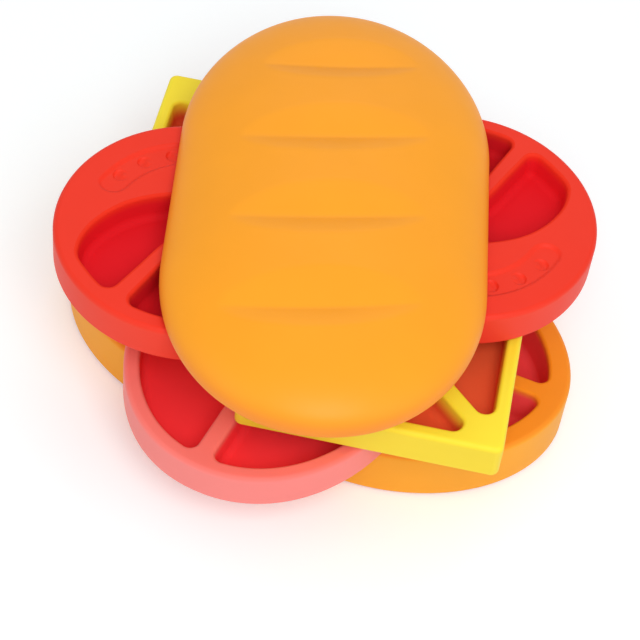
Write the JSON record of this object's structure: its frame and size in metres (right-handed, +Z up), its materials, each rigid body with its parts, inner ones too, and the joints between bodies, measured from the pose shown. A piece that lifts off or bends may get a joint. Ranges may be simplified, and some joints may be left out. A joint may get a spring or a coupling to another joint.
{
  "type": "layered rotating puzzle feeder",
  "caption": "Sandwich-shaped puzzle feeder: moulded trays with wells and a domed bun lid, fanned out on one upright axle that each layer turns about.",
  "frame": {"origin": "on the axle's centre line, at the floor under the rubber feet", "axes": "+Z up along the axle, +X along the base tray's long direction"},
  "size_m": [0.2372, 0.2358, 0.1132],
  "materials": {
    "base_plastic": "satin moulded",
    "ham_plastic": "satin moulded",
    "cheese_plastic": "satin moulded",
    "tomato_plastic": "satin moulded",
    "bun_plastic": "fine matt moulded",
    "nylon": "satin",
    "zinc_plated_steel": "bright zinc",
    "rubber": "matt"
  },
  "bodies": {
    "base": {"base_tray": "base_plastic", "base_plate": "base_plastic", "base_plate_screw_1": "zinc_plated_steel", "base_plate_screw_2": "zinc_plated_steel", "base_plate_screw_3": "zinc_plated_steel", "base_plate_screw_4": "zinc_plated_steel", "axle_bolt": "zinc_plated_steel", "axle_lock_nut": "zinc_plated_steel", "axle_washer_lower": "zinc_plated_steel", "axle_washer_upper": "zinc_plated_steel", "rubber_foot_1": "rubber", "rubber_foot_2": "rubber", "rubber_foot_3": "rubber", "rubber_foot_4": "rubber"},
    "ham": {"ham_tray": "ham_plastic", "ham_plate": "ham_plastic", "ham_bush": "nylon", "ham_plate_screw_1": "zinc_plated_steel", "ham_plate_screw_2": "zinc_plated_steel", "ham_plate_screw_3": "zinc_plated_steel", "ham_plate_screw_4": "zinc_plated_steel"},
    "cheese": {"cheese_tray": "cheese_plastic", "cheese_plate": "cheese_plastic", "cheese_bush": "nylon", "cheese_plate_screw_1": "zinc_plated_steel", "cheese_plate_screw_2": "zinc_plated_steel", "cheese_plate_screw_3": "zinc_plated_steel", "cheese_plate_screw_4": "zinc_plated_steel"},
    "tomato": {"tomato_tray": "tomato_plastic", "tomato_plate": "tomato_plastic", "tomato_bush": "nylon", "tomato_plate_screw_1": "zinc_plated_steel", "tomato_plate_screw_2": "zinc_plated_steel", "tomato_plate_screw_3": "zinc_plated_steel", "tomato_plate_screw_4": "zinc_plated_steel"},
    "bun": {"bun_shell": "bun_plastic", "bun_plate": "bun_plastic", "bun_bush": "nylon", "bun_plate_screw_1": "zinc_plated_steel", "bun_plate_screw_2": "zinc_plated_steel", "bun_plate_screw_3": "zinc_plated_steel", "bun_plate_screw_4": "zinc_plated_steel"}
  },
  "joints": [
    {"name": "ham_turn", "type": "hinge", "parent": "base", "child": "ham", "pos_m": [0, 0, 0.0372], "axis": [0, 0, 1], "continuous": true},
    {"name": "cheese_turn", "type": "hinge", "parent": "base", "child": "cheese", "pos_m": [0, 0, 0.0567], "axis": [0, 0, 1], "continuous": true},
    {"name": "tomato_turn", "type": "hinge", "parent": "base", "child": "tomato", "pos_m": [0, 0, 0.0762], "axis": [0, 0, 1], "continuous": true},
    {"name": "bun_turn", "type": "hinge", "parent": "base", "child": "bun", "pos_m": [0, 0, 0.0912], "axis": [0, 0, 1], "continuous": true}
  ]
}
